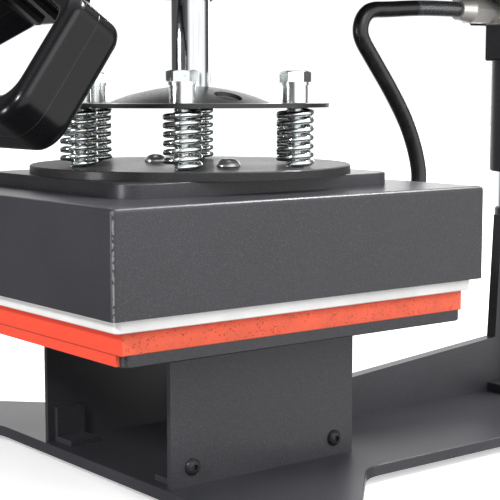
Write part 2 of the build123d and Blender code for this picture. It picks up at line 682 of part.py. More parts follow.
# Rocker: a round back turning about X, and two faces that meet in a shallow valley
ROCKER_R = 10.2
ROCKER_T = 14.0
ROCKER_TIP = 5.6
ROCKER_VALLEY = 3.0
ROCKER_Y = BOX_REAR - 1.5
with BuildPart() as power_switch:
    with BuildSketch(across(SWITCH_X - ROCKER_T / 2)):
        with BuildLine():
            ThreePointArc((ROCKER_Y, SOCKET_Z + ROCKER_R), (ROCKER_Y - ROCKER_R, SOCKET_Z),
                          (ROCKER_Y, SOCKET_Z - ROCKER_R))
            Polyline((ROCKER_Y, SOCKET_Z - ROCKER_R), (ROCKER_Y + ROCKER_TIP, SOCKET_Z - ROCKER_R),
                     (ROCKER_Y + ROCKER_VALLEY, SOCKET_Z), (ROCKER_Y + ROCKER_TIP, SOCKET_Z + ROCKER_R),
                     (ROCKER_Y, SOCKET_Z + ROCKER_R))
        make_face()
    extrude(amount=ROCKER_T)
power_switch.part.label = "power_switch"
export_step(power_switch.part, "parts/power_switch.step")

# Lever: cam, two bars and the two-part grip, turning together on the axle
CAM_T = 8.7
BAR_IN = 9.3
BAR_T = 6.0
BAR_OUT = BAR_IN + BAR_T
AXLE_BORE = AXLE_R + RUNNING
PITCH_R = AXLE_Z - ROLLER_Z
PITCH_FALL = LIFT / LEVER_TURN
CAM_GAP = ROLLER_R + CLEAR


def cam_point(turn):
    """Point of the cam's profile that faces the roller when the lever has turned this far."""
    radius = PITCH_R - PITCH_FALL * turn
    angle = -math.pi / 2 + turn
    along = Vector(math.cos(angle), math.sin(angle))
    across_it = Vector(-math.sin(angle), math.cos(angle))
    inward = (along * radius + across_it * PITCH_FALL) * (-1 / math.hypot(radius, PITCH_FALL))
    return along * radius + inward * CAM_GAP


CAM_STEPS = 16
CAM_BEFORE = 0.03
CAM_AFTER = 0.2
CAM_HEEL = (-24, -14)
CAM_CROWN = (4, 30)
CAM_SPAN = 1 + CAM_BEFORE + CAM_AFTER
cam_curve = [cam_point(LEVER_TURN * (CAM_SPAN * i / CAM_STEPS - CAM_BEFORE)) for i in range(CAM_STEPS + 1)]
cam_side = Plane(origin=(-CAM_T, SHAFT_Y, AXLE_Z), x_dir=(0, 1, 0), z_dir=(1, 0, 0))
with BuildPart() as cam:
    with BuildSketch(cam_side):
        with BuildLine():
            Spline(*cam_curve)
            Line(cam_curve[0], CAM_HEEL)
            ThreePointArc(CAM_HEEL, CAM_CROWN, cam_curve[-1])
        make_face()
        Circle(AXLE_BORE, mode=Mode.SUBTRACT)
    extrude(amount=2 * CAM_T)
    with BuildSketch(cam_side.offset(CAM_T - BAR_IN)):
        Circle(20)
        Circle(AXLE_BORE, mode=Mode.SUBTRACT)
    extrude(amount=2 * BAR_IN)
cam.part.label = "cam"
export_step(cam.part, "parts/cam.step")

BAR_END_UP = WINDOW_TOP - 3.5
BAR_FAR_Y = GRIP_ORIGIN[1] - SHAFT_Y + BAR_END_UP * math.sin(tilt)
BAR_FAR_Z = GRIP_ORIGIN[2] - AXLE_Z + BAR_END_UP * math.cos(tilt)
BAR_WIDTH = 28.0
BAR_LENGTH = math.hypot(BAR_FAR_Y, BAR_FAR_Z)
bar_angle = math.degrees(math.atan2(BAR_FAR_Z, BAR_FAR_Y))
with BuildPart() as lever_bars:
    for side in (-1, 1):
        inner = Plane(origin=(side * BAR_IN, SHAFT_Y, AXLE_Z), x_dir=(0, 1, 0), z_dir=(1, 0, 0))
        with BuildSketch(inner):
            Circle(22)
            with Locations(Location((BAR_FAR_Y / 2, BAR_FAR_Z / 2), bar_angle)):
                Rectangle(BAR_LENGTH, BAR_WIDTH)
            Circle(AXLE_BORE, mode=Mode.SUBTRACT)
        extrude(amount=side * BAR_T)
        with BuildSketch(inner.offset(side * BAR_T)):
            Circle(17)
            Circle(AXLE_BORE, mode=Mode.SUBTRACT)
        extrude(amount=side * (CHEEK_IN - CLEAR - BAR_OUT))
lever_bars.part.label = "lever_bars"
export_step(lever_bars.part, "parts/lever_bars.step")

# Grip: a wide frame round a window, split along its middle plane and screwed together
GRIP_BOTTOM_R = 20.0
GRIP_TOP_R = 14.0
NECK_R = 6.0
GRIP_EDGE_R = 8.5
WINDOW_R = 12.0
WINDOW_EDGE_R = 4.0
GRIP_SCREWS = [(-60, -0.6), (60, -0.6), (-60, 87.2), (60, 87.2)]
POCKET_DEPTH = 4.0
POCKET_R = 4.4
GRIP_SCREW_R = 2.0
pocket_plane = grip_plane.offset(-GRIP_T + POCKET_DEPTH)
with BuildPart() as screw_holes:
    with BuildSketch(pocket_plane):
        with Locations(*GRIP_SCREWS):
            Circle(GRIP_SCREW_R)
    extrude(amount=GRIP_T)
    with BuildSketch(pocket_plane):
        with Locations(*GRIP_SCREWS):
            Circle(POCKET_R)
    extrude(amount=-POCKET_DEPTH)

screws = []
for x, up in GRIP_SCREWS:
    spot = pocket_plane.from_local_coords((x, up, 0))
    screws.append(dome_screw(Plane(origin=spot, x_dir=(1, 0, 0), z_dir=-grip_plane.z_dir), 3.7, 2.4, 2.5))
with BuildPart() as grip_screws:
    add(screws)
    with BuildSketch(pocket_plane):
        with Locations(*GRIP_SCREWS):
            Circle(GRIP_SCREW_R)
    extrude(amount=GRIP_T)
grip_screws.part.label = "grip_screws"
export_step(grip_screws.part, "parts/grip_screws.step")


half_outline = [(GRIP_HALF, GRIP_BOTTOM), (GRIP_HALF, GRIP_SIDE_TOP), (SHOULDER_X, SHOULDER_TOP),
                (NECK_X, NECK_TOP)]
grip_outline = half_outline + [(-x, up) for x, up in reversed(half_outline)]
half_radii = [GRIP_BOTTOM_R, GRIP_TOP_R, GRIP_TOP_R, NECK_R]
grip_radii = half_radii + list(reversed(half_radii))
half_window = [(WINDOW_HALF, WINDOW_BOTTOM), (WINDOW_HALF, WINDOW_SIDE_TOP), (WINDOW_TOP_X, WINDOW_TOP)]
window_outline = half_window + [(-x, up) for x, up in reversed(half_window)]


def grip_half(side):
    """One moulded half of the grip, on the given side of the split plane."""
    outward = Axis(grip_plane.origin, grip_plane.z_dir * side)
    with BuildPart() as half:
        with BuildSketch(grip_plane):
            with BuildLine():
                FilletPolyline(*grip_outline, radius=grip_radii, close=True)
            make_face()
        extrude(amount=side * GRIP_T)
        fillet(half.faces().sort_by(outward)[-1].edges(), GRIP_EDGE_R)
        with BuildSketch(grip_plane):
            with BuildLine():
                FilletPolyline(*window_outline, radius=WINDOW_R, close=True)
            make_face()
        extrude(amount=side * GRIP_T, mode=Mode.SUBTRACT)
        rim = half.faces().sort_by(outward)[-1].inner_wires()
        fillet(rim[0].edges(), WINDOW_EDGE_R)
        add(lever_bars.part, mode=Mode.SUBTRACT)
        add(screw_holes.part, mode=Mode.SUBTRACT)
    return half


grip_front = grip_half(1)
grip_front.part.label = "grip_front"
export_step(grip_front.part, "parts/grip_front.step")

grip_rear = grip_half(-1)
grip_rear.part.label = "grip_rear"
export_step(grip_rear.part, "parts/grip_rear.step")

# Heated platen: cover, insulation, element and plate
FOLD_R = 3.0
GLAND_BORE = 8.0
ELEMENT_R = 4.0
ELEMENT_X = 100.0
ELEMENT_RUNS = 6
ELEMENT_PITCH = 44.0
INSULATION_T = COVER_TOP - SHEET - HEAT_TOP - 2 * ELEMENT_R
with BuildPart() as cover:
    with BuildSketch(at_height(COVER_BOTTOM)):
        Rectangle(2 * COVER_X, 2 * COVER_Y)
    extrude(amount=COVER_TOP - COVER_BOTTOM)
    folds = cover.edges().filter_by(Axis.Z) + cover.faces().sort_by(Axis.Z)[-1].edges()
    fillet(folds, FOLD_R)
    offset(amount=-SHEET, openings=cover.faces().sort_by(Axis.Z)[0])
    with BuildSketch(facing_rear(SHAFT_Y + COVER_Y - 2 * SHEET, CABLE_Z)):
        Circle(GLAND_BORE)
    extrude(amount=3 * SHEET, mode=Mode.SUBTRACT)
cover.part.label = "cover"
export_step(cover.part, "parts/cover.step")

with BuildPart() as insulation:
    with BuildSketch(at_height(COVER_TOP - SHEET - INSULATION_T)):
        RectangleRounded(2 * HEAT_X, 2 * HEAT_Y, 4)
    extrude(amount=INSULATION_T)
insulation.part.label = "insulation"
export_step(insulation.part, "parts/insulation.step")

# Tubular element bent to and fro on the plate
with BuildPart() as heating_element:
    with BuildLine(at_height(HEAT_TOP + ELEMENT_R)) as element_line:
        far = ELEMENT_X
        for i in range(ELEMENT_RUNS):
            y = (i - (ELEMENT_RUNS - 1) / 2) * ELEMENT_PITCH
            Line((-far, y), (far, y))
            if i < ELEMENT_RUNS - 1:
                ThreePointArc((far, y), (far + math.copysign(ELEMENT_PITCH / 2, far), y + ELEMENT_PITCH / 2),
                              (far, y + ELEMENT_PITCH))
            far = -far
    with BuildSketch(Plane(origin=element_line.wires()[0] @ 0, z_dir=element_line.wires()[0] % 0)):
        Circle(ELEMENT_R)
    sweep(path=element_line.wires()[0])
heating_element.part.label = "heating_element"
export_step(heating_element.part, "parts/heating_element.step")

with BuildPart() as heat_plate:
    with BuildSketch(at_height(HEAT_BOTTOM)):
        RectangleRounded(2 * HEAT_X, 2 * HEAT_Y, 4)
    extrude(amount=HEAT_TOP - HEAT_BOTTOM)
    chamfer(heat_plate.faces().sort_by(Axis.Z)[0].edges(), 0.6)
heat_plate.part.label = "heat_plate"
export_step(heat_plate.part, "parts/heat_plate.step")

with BuildPart() as tier_plate:
    with BuildSketch(at_height(COVER_TOP)):
        RectangleRounded(2 * TIER_X, 2 * TIER_Y, TIER_CORNER_R)
    extrude(amount=DISC_Z - COVER_TOP)
    fillet(tier_plate.faces().sort_by(Axis.Z)[-1].edges(), 0.9)
tier_plate.part.label = "tier_plate"
export_step(tier_plate.part, "parts/tier_plate.step")

BOLT_SPOTS = []
for i in range(6):
    around = math.radians(BOLT_PHASE + 60 * i)
    BOLT_SPOTS.append((BOLT_CIRCLE_R * math.cos(around), BOLT_CIRCLE_R * math.sin(around)))

with BuildPart() as spring_disc:
    with BuildSketch(at_height(DISC_Z)):
        Circle(DISC_R)
        with Locations(*BOLT_SPOTS):
            Circle(BOLT_R, mode=Mode.SUBTRACT)
    extrude(amount=DISC_TOP - DISC_Z)
    chamfer(spring_disc.faces().sort_by(Axis.Z)[-1].outer_wire().edges(), 0.8)
spring_disc.part.label = "spring_disc"
export_step(spring_disc.part, "parts/spring_disc.step")

screws = []
for x in (-SCREW_X, SCREW_X):
    screws.append(dome_screw(Plane((x, SHAFT_Y, DISC_TOP)), SCREW_R, SCREW_H, SCREW_SOCKET))
with BuildPart() as disc_screws:
    add(screws)
disc_screws.part.label = "disc_screws"
export_step(disc_screws.part, "parts/disc_screws.step")

# Bolts that guide the flange: threaded into the disc, with a rimmed tube under each head and a spring below
SPRING_TURNS = 6.5
SPRING_CLOSED = 5.0
SPRING_LENGTH = FLANGE_Z - 0.2 - DISC_TOP
RIM_H = 2.2
bolts = []
sleeves = []
springs = []
for x, y in BOLT_SPOTS:
    bolts.append(hex_bolt(Plane((x, SHAFT_Y + y, HEAD_Z)), BOLT_R, HEAD_Z - DISC_Z, 19.0, HEAD_H))
    sleeve_z = FLANGE_Z + FLANGE_T + CLEAR
    sleeves.append(ring(Plane((x, SHAFT_Y + y, sleeve_z)), SLEEVE_R, BOLT_R, HEAD_Z - sleeve_z - RIM_H))
    sleeves.append(ring(Plane((x, SHAFT_Y + y, HEAD_Z - RIM_H)), SLEEVE_R + SLEEVE_RIM, BOLT_R, RIM_H))
    springs.append(coil_spring(Plane((x, SHAFT_Y + y, DISC_TOP)), SPRING_MEAN_R, SPRING_WIRE, SPRING_TURNS,
                               SPRING_LENGTH, SPRING_CLOSED))
with BuildPart() as press_bolts:
    add(bolts)
press_bolts.part.label = "press_bolts"
export_step(press_bolts.part, "parts/press_bolts.step")
with BuildPart() as bolt_sleeves:
    add(sleeves)
bolt_sleeves.part.label = "bolt_sleeves"
export_step(bolt_sleeves.part, "parts/bolt_sleeves.step")
press_springs = Compound(children=springs)
press_springs.label = "press_springs"
export_step(press_springs, "parts/press_springs.step")
print("press spring gap", round(coil_gap(SPRING_MEAN_R, SPRING_WIRE, SPRING_TURNS,
                                         SPRING_LENGTH - SPRING_WIRE, SPRING_CLOSED), 2))

# Nylon gland in the cover's rear wall
gland_rear = facing_rear(SHAFT_Y + COVER_Y, CABLE_Z)
with BuildPart() as cover_gland:
    with BuildSketch(gland_rear):
        Circle(GLAND_BORE)
    extrude(amount=-SHEET - 3)
    with BuildSketch(gland_rear):
        RegularPolygon(12.5, 6)
    extrude(amount=7)
    with BuildSketch(gland_rear.offset(7)):
        Circle(10.5)
    extrude(amount=CABLE_START - COVER_Y - 7, taper=3)
cover_gland.part.label = "cover_gland"
export_step(cover_gland.part, "parts/cover_gland.step")

# Press shaft with the domed flange, roller fork and pressure nut
SHAFT_Z = 270.0
STUD_R = 8.0
FORK_Z = 408.0
FORK_BASE = 9.0
NUT_R = 22.0
with BuildPart() as press_shaft:
    with BuildSketch(at_height(SHAFT_Z)):
        Circle(SHAFT_R)
    extrude(amount=NUT_Z - SHAFT_Z)
    with BuildSketch(at_height(NUT_Z)):
        Circle(STUD_R)
    extrude(amount=FORK_Z - NUT_Z)
    with BuildSketch(at_height(SHAFT_Z)):
        Circle(SHAFT_R + 3)
    extrude(amount=3)
    chamfer(press_shaft.edges().group_by(Axis.Z)[0], 0.8)
press_shaft.part.label = "press_shaft"
export_step(press_shaft.part, "parts/press_shaft.step")

DOME_SPHERE = (DOME_R**2 + DOME_RISE**2) / (2 * DOME_RISE)
HOLE_R = 10.0
with BuildPart() as flange:
    with BuildSketch(Plane(origin=(0, SHAFT_Y, 0), x_dir=(1, 0, 0), z_dir=(0, -1, 0))):
        with BuildLine():
            low = FLANGE_Z
            high = FLANGE_Z + FLANGE_T
            half_way = DOME_RISE - DOME_SPHERE + math.sqrt(DOME_SPHERE**2 - (DOME_R / 2) ** 2)
            Polyline((0, low + DOME_RISE), (0, high + DOME_RISE))
            ThreePointArc((0, high + DOME_RISE), (DOME_R / 2, high + half_way), (DOME_R, high))
            Polyline((DOME_R, high), (FLANGE_R, high), (FLANGE_R, low), (DOME_R, low))
            ThreePointArc((DOME_R, low), (DOME_R / 2, low + half_way), (0, low + DOME_RISE))
        make_face()
    revolve(axis=Axis((0, SHAFT_Y, 0), (0, 0, 1)))
    with BuildSketch(at_height(FLANGE_Z)):
        Circle(SHAFT_R)
        with Locations((-SCREW_X, 0), (SCREW_X, 0)):
            Circle(HOLE_R)
        with Locations(*BOLT_SPOTS):
            Circle(BOLT_R + 1)
    extrude(amount=2 * DOME_RISE, mode=Mode.SUBTRACT)
flange.part.label = "flange"
export_step(flange.part, "parts/flange.step")

EAR_Y = 12.0
EAR_TOP = ROLLER_Z + 9
PIN_R = 5.0
with BuildPart() as roller_fork:
    with BuildSketch(at_height(FORK_Z)):
        Circle(BAR_OUT)
    extrude(amount=FORK_BASE)
    with BuildSketch(at_height(FORK_Z + FORK_BASE)):
        with Locations((-(BAR_IN + BAR_OUT) / 2, 0), ((BAR_IN + BAR_OUT) / 2, 0)):
            Rectangle(BAR_T, 2 * EAR_Y)
    extrude(amount=EAR_TOP - FORK_Z - FORK_BASE)
    fillet(roller_fork.edges().filter_by(Axis.X).group_by(Axis.Z)[-1], 8)
    with BuildSketch(across(-BAR_OUT)):
        with Locations((SHAFT_Y, ROLLER_Z)):
            Circle(PIN_R)
    extrude(amount=2 * BAR_OUT, mode=Mode.SUBTRACT)
roller_fork.part.label = "roller_fork"
export_step(roller_fork.part, "parts/roller_fork.step")

with BuildPart() as roller_pin:
    with BuildSketch(across(-BAR_OUT - 1)):
        with Locations((SHAFT_Y, ROLLER_Z)):
            Circle(PIN_R)
    extrude(amount=2 * (BAR_OUT + 1))
    chamfer(roller_pin.edges().filter_by(GeomType.CIRCLE), 0.6)
roller_pin.part.label = "roller_pin"
export_step(roller_pin.part, "parts/roller_pin.step")

with BuildPart() as roller:
    with BuildSketch(across(-CAM_T)):
        with Locations((SHAFT_Y, ROLLER_Z)):
            Circle(ROLLER_R)
            Circle(PIN_R + RUNNING, mode=Mode.SUBTRACT)
    extrude(amount=2 * CAM_T)
roller.part.label = "roller"
export_step(roller.part, "parts/roller.step")

with BuildPart() as pressure_nut:
    with BuildSketch(at_height(NUT_Z + CLEAR)):
        Circle(NUT_R)
        with PolarLocations(NUT_R, 12):
            Circle(2, mode=Mode.SUBTRACT)
        Circle(STUD_R + RUNNING, mode=Mode.SUBTRACT)
    extrude(amount=FORK_Z - NUT_Z - 2 * CLEAR)
pressure_nut.part.label = "pressure_nut"
export_step(pressure_nut.part, "parts/pressure_nut.step")
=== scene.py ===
"""Swing-away heat press: finishes, cable, springs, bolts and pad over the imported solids."""
import math

import bmesh
import bpy
from bpy.props import FloatProperty, FloatVectorProperty, PointerProperty
from mathutils import Matrix, Vector


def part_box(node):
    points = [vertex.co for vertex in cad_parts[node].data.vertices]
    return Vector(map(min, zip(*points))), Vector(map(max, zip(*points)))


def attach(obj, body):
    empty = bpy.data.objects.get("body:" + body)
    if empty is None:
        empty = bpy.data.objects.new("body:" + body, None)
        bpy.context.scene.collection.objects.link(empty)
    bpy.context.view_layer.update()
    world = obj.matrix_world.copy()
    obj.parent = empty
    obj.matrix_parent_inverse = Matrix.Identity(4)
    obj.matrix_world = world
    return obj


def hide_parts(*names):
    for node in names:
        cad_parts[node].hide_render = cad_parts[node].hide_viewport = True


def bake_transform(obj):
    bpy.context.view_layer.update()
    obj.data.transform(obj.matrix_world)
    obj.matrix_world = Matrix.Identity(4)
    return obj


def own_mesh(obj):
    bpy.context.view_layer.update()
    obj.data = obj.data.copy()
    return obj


bl_info = {
    "name": "Heat Press Dresser",
    "version": (1, 0, 0),
    "blender": (4, 5, 0),
    "location": "View3D > Sidebar > Heat Press",
    "description": "Dresses a swing-away heat press with finishes, cable, springs and pad",
    "category": "Object",
}

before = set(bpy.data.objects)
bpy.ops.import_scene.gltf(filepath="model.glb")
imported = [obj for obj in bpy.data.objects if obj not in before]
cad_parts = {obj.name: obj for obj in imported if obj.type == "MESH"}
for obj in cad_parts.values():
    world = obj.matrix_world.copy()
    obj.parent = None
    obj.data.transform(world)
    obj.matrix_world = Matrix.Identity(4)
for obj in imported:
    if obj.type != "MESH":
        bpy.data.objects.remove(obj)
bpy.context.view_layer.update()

MM = 0.001
SHAFT_Y = (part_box("press_shaft")[0][1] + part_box("press_shaft")[1][1]) / 2

# Press springs and return spring: turns, rise of a closed end turn, points in a turn
PRESS_COIL = (6.5, 5 * MM, 24)
RETURN_COIL = (4.5, 3.6 * MM, 28)
RETURN_RADIUS = 18.5 * MM
RETURN_WIRE = 3 * MM
COIL_START = math.radians(-50)

# Bolts: how many, thread radius, thread depth as a share of the pitch, chamfer of the heads,
# and radius of their flat tops as a share of the width across the flats
BOLTS = 6
THREAD_RADIUS = 6 * MM
THREAD_DEPTH = 0.6
HEAD_CHAMFER = math.radians(30)
HEAD_CROWN = 0.475

# The grip's halves meet in a plane through this point (behind the shaft and up, in millimetres)
GRIP_TILT = math.radians(35)
GRIP_MIDDLE = (-180.9, 259.7)

# Camera at the photograph's angle
CAMERA_PLACE = (0.8218, SHAFT_Y - 0.5891, 0.2787)
CAMERA_WAY = (-0.7816, 0.6131, -0.1144)
CAMERA_LENS = 98.58
CAMERA_SENSOR = 36

# Lamps: name, place, power in watts, width and height; all point at the middle of the press
LAMPS = [
    ("key", (2.0, -0.2, 1.5), 12, 1.3, 1.3),
    ("front", (0.56, -1.77, 1.24), 28, 0.3, 0.3),
    ("low_front", (-0.45, -2.0, 0.27), 15, 0.4, 0.4),
    ("strip", (0.29, 1.54, 2.2), 80, 1.0, 0.3),
    ("rear", (-2.3, 2.2, 0.42), 10, 1.6, 0.5),
]
PRESS_MIDDLE = (0, -0.05, 0.25)

# Points that the cable's centre line follows: distance behind the shaft and height, in millimetres
CABLE_ROUTE = [
    (198, 178), (216, 178), (231, 187.9), (238.1, 204.3), (233.5, 227), (222, 253),
    (204, 279), (181.3, 306.7), (169.3, 321.5), (168, 331), (171.9, 339.8), (179.8, 345.2),
    (197, 345.8), (230, 348.3), (258, 349), (280, 349),
]


class PressSizes(bpy.types.PropertyGroup):
    """Sizes of the pieces that this script models."""

    cable_d: FloatProperty(
        name="Cable diameter", description="Outside of the rubber-covered cable",
        default=13 * MM, unit="LENGTH")
    wire_d: FloatProperty(
        name="Spring wire", description="Wire of the six press springs",
        default=4.2 * MM, unit="LENGTH")
    coil_r: FloatProperty(
        name="Spring radius", description="Mean radius of the press springs",
        default=11.4 * MM, unit="LENGTH")
    bolt_circle: FloatProperty(
        name="Bolt circle", description="Radius on which the six bolts stand",
        default=88.1 * MM, unit="LENGTH")
    bolt_phase: FloatProperty(
        name="First bolt", description="Turn of the first bolt from the X axis",
        default=math.radians(20.8), subtype="ANGLE")
    thread_pitch: FloatProperty(
        name="Thread pitch", description="Rise of the M12 thread in one turn",
        default=1.75 * MM, unit="LENGTH")
    head_flats: FloatProperty(
        name="Head flats", description="Width across the flats of the press bolts",
        default=19 * MM, unit="LENGTH")
    head_height: FloatProperty(
        name="Head height", description="Height of the press bolts' heads",
        default=7.7 * MM, unit="LENGTH")
    pad_edge: FloatProperty(
        name="Pad edge", description="Rounding of the silicone pad's cut edges",
        default=0.8 * MM, unit="LENGTH")


class PressColours(bpy.types.PropertyGroup):
    """Colours of the finishes."""

    coat: FloatVectorProperty(
        name="Powder coat", description="Textured dark coat of the sheet metal",
        subtype="COLOR", size=3, default=(0.036, 0.036, 0.042), min=0, max=1)
    enamel: FloatVectorProperty(
        name="Enamel", description="Gloss black of the disc and flange",
        subtype="COLOR", size=3, default=(0.012, 0.012, 0.013), min=0, max=1)
    silicone: FloatVectorProperty(
        name="Silicone", description="Red sponge of the pad",
        subtype="COLOR", size=3, default=(0.98, 0.12, 0.05), min=0, max=1)
    grip: FloatVectorProperty(
        name="Grip", description="Moulded plastic of the handle",
        subtype="COLOR", size=3, default=(0.004, 0.004, 0.005), min=0, max=1)
    zinc: FloatVectorProperty(
        name="Zinc", description="Bright plating of the springs and bolts",
        subtype="COLOR", size=3, default=(0.77, 0.815, 0.83), min=0, max=1)


class Value:
    """A node's output that ordinary arithmetic works on."""

    def __init__(self, wiring, socket):
        self.wiring = wiring
        self.socket = socket

    def _math(self, operation, first, second):
        return self.wiring.node("ShaderNodeMath", {"operation": operation}, {0: first, 1: second})

    def __add__(self, other):
        return self._math("ADD", self, other)

    def __sub__(self, other):
        return self._math("SUBTRACT", self, other)

    def __rsub__(self, other):
        return self._math("SUBTRACT", other, self)

    def __mul__(self, other):
        return self._math("MULTIPLY", self, other)

    __radd__ = __add__
    __rmul__ = __mul__

    def through(self, operation):
        """The value put through a function of one number, such as SINE."""
        return self.wiring.node("ShaderNodeMath", {"operation": operation}, {0: self})

    def step(self, low, high):
        """0 below low, 1 above high, smooth between."""
        return self.wiring.node(
            "ShaderNodeMapRange", {"interpolation_type": "SMOOTHSTEP"},
            {"Value": self, "From Min": low, "From Max": high, "To Min": 0.0, "To Max": 1.0})


class Wiring:
    """A node tree that values and nodes are added to."""

    def __init__(self, owner):
        owner.use_nodes = True
        self.tree = owner.node_tree
        self.tree.nodes.clear()

    def node(self, kind, settings=None, inputs=None, output=0):
        """Adds a node: its settings first, then the values or links of its sockets."""
        made = self.tree.nodes.new(kind)
        for key, value in (settings or {}).items():
            if key == "stops":
                ramp = made.color_ramp
                while len(ramp.elements) < len(value):
                    ramp.elements.new(0.5)
                for element, (at, colour) in zip(ramp.elements, value):
                    element.position = at
                    element.color = (*colour, 1)
            else:
                setattr(made, key, value)
        for key, value in (inputs or {}).items():
            if isinstance(value, Value):
                self.tree.links.new(value.socket, made.inputs[key])
            else:
                made.inputs[key].default_value = value
        return Value(self, made.outputs[output])

    def axis(self, letter, at):
        """One coordinate of a place."""
        return self.node("ShaderNodeSeparateXYZ", None, {"Vector": at}, letter)


class Finish(Wiring):
    """One procedural material under construction."""

    def __init__(self, name, **constants):
        self.material = bpy.data.materials.new(name)
        super().__init__(self.material)
        self.shader = self.tree.nodes.new("ShaderNodeBsdfPrincipled")
        out = self.tree.nodes.new("ShaderNodeOutputMaterial")
        self.tree.links.new(self.shader.outputs[0], out.inputs[0])
        for key, value in constants.items():
            self.shader.inputs[key.replace("_", " ")].default_value = value
        self.place = self.node("ShaderNodeTexCoord", output="Object")

    def noise(self, scale, detail=2.0, rough=0.5, at=None):
        """Soft noise; scale is in repeats a metre."""
        return self.node(
            "ShaderNodeTexNoise", None,
            {"Vector": at or self.place, "Scale": scale, "Detail": detail, "Roughness": rough})

    def stretched(self, x, y, z):
        """Object coordinates with each axis scaled."""
        return self.node("ShaderNodeMapping", None, {"Vector": self.place, "Scale": (x, y, z)})

    def blend(self, factor, dark, light):
        """Colour between two colours, as factor goes from 0 to 1."""
        def full(colour):
            return colour if isinstance(colour, Value) else (*colour, 1)
        return self.node(
            "ShaderNodeMix", {"data_type": "RGBA"},
            {0: factor, 6: full(dark), 7: full(light)}, 2)

    def bump(self, height, distance, strength=1.0, under=None):
        """Normal from a height; under is a normal to lay it over."""
        sockets = {"Height": height, "Distance": distance, "Strength": strength}
        if under is not None:
            sockets["Normal"] = under
        return self.node("ShaderNodeBump", None, sockets)

    def wire(self, **links):
        """Feeds what varies into the shader and hands back the material."""
        for key, value in links.items():
            self.tree.links.new(value.socket, self.shader.inputs[key.replace("_", " ")])
        return self.material


def tone(colour, share):
    """The colour made lighter or darker by a share."""
    return tuple(min(1.0, c * share) for c in colour)


def powder_coat(name, colour, wear_highlight_corner=None):
    """Powder coat with grain, light specks and handling marks; the last argument is an upright corner
    given a pale line, partly paint rubbed to metal and partly a painted highlight.
    """
    f = Finish(name, IOR=1.46)
    grains = f.noise(1500, 2, 0.6)
    fleck = f.noise(2600, 0, 0.5).step(0.66, 0.74)
    cloud = f.noise(9, 3, 0.55)
    peel = f.noise(420, 1, 0.5)
    base = f.blend(cloud.step(0.3, 0.7), tone(colour, 0.88), tone(colour, 1.12))
    base = f.blend((1 - grains.step(0.35, 0.6)) * 0.5, base, tone(colour, 0.45))
    base = f.blend(fleck * 0.6, base, tone(colour, 3.6))
    if wear_highlight_corner:
        # Partly wear, partly painted highlight: a broken pale grey line down the corner stands in for
        # rubbed paint and for the lamp's glint on the rounded edge.
        wear_and_highlight = corner_line(f, wear_highlight_corner, 1.1 * MM) * f.noise(330, 2, 0.6).step(0.38, 0.55)
        base = f.blend(wear_and_highlight * 0.8, base, (0.62, 0.62, 0.63))
    shine = 0.36 + (grains - 0.5) * 0.16 + (cloud - 0.5) * 0.10
    height = f.bump(grains + peel * 0.6, 0.12 * MM, 0.55)
    return f.wire(Base_Color=base, Roughness=shine, Normal=height)


def corner_line(f, corner, width):
    """1 within a width of an upright corner, 0 elsewhere."""
    apart = f.axis("X", f.place) - corner[0]
    behind = f.axis("Y", f.place) - corner[1]
    reach = (apart * apart + behind * behind).through("SQRT")
    return 1 - reach.step(width * 0.6, width * 1.6)


def enamel_coat(name, colour, rough=0.3, gloss=0.2):
    """Black enamel with dust and light scuffs; gloss is the weight of its clear top layer."""
    f = Finish(name, IOR=1.42, Coat_Roughness=0.12)
    scuff = f.noise(260, 4, 0.65, f.stretched(1, 1, 3))
    dust = f.noise(1900, 0, 0.5).step(0.68, 0.76)
    cloud = f.noise(14, 3, 0.5)
    base = f.blend(dust * 0.35, colour, tone(colour, 10))
    shine = rough + scuff.step(0.45, 0.8) * 0.16 + cloud * 0.05
    height = f.bump(f.noise(500, 2), 0.05 * MM, 0.5)
    return f.wire(Base_Color=base, Roughness=shine, Normal=height, Coat_Weight=gloss + cloud * 0.15)


def plated(name, colour, rough=0.2, tint=(0.74, 0.735, 0.69), metal=1.0):
    """Electroplated steel: bright, a little uneven in tint, with fine marks."""
    f = Finish(name, Metallic=metal)
    cloud = f.noise(120, 3, 0.6)
    marks = f.noise(900, 3, 0.7)
    base = f.blend(cloud.step(0.35, 0.75), colour, tint)
    dark = f.noise(320, 2, 0.6).step(0.62, 0.78)
    base = f.blend(dark * 0.25, base, tone(colour, 0.5))
    shine = rough + (marks - 0.5) * 0.14 + dark * 0.1
    return f.wire(Base_Color=base, Roughness=shine, Normal=f.bump(marks, 0.05 * MM, 0.35))


def chromed(name):
    """Hard chrome on a ground bar, with faint lengthwise streaks."""
    f = Finish(name, Metallic=1.0)
    streak = f.noise(60, 3, 0.6, f.stretched(8, 8, 0.4))
    base = f.blend(streak.step(0.3, 0.7), (0.52, 0.53, 0.55), (0.64, 0.65, 0.66))
    film = f.noise(25, 2, 0.5)
    return f.wire(Base_Color=base, Roughness=0.05 + film * 0.07 + streak * 0.04)


def turned_steel(name, colour, rings):
    """Machined steel with tool rings 0.4 mm apart; rings is the axis that they go round."""
    f = Finish(name, Metallic=1.0)
    ring = (f.axis(rings, f.place) * (math.tau / (0.4 * MM))).through("SINE")
    wear = f.noise(180, 3, 0.6)
    base = f.blend(wear.step(0.3, 0.7), tone(colour, 0.8), colour)
    shine = 0.24 + wear * 0.16 + ring * 0.03
    return f.wire(Base_Color=base, Roughness=shine, Normal=f.bump(ring, 0.03 * MM, 0.3))


def pale_aluminium(name):
    """Cast and milled aluminium plate, nearly white in this light."""
    f = Finish(name, Metallic=0.12)
    mill = f.noise(420, 2, 0.5, f.stretched(0.15, 1.6, 1.6))
    cloud = f.noise(18, 3, 0.6)
    base = f.blend(cloud.step(0.3, 0.7), (0.80, 0.80, 0.79), (0.92, 0.92, 0.91))
    shine = 0.36 + mill * 0.18
    return f.wire(Base_Color=base, Roughness=shine, Normal=f.bump(mill, 0.04 * MM, 0.3))


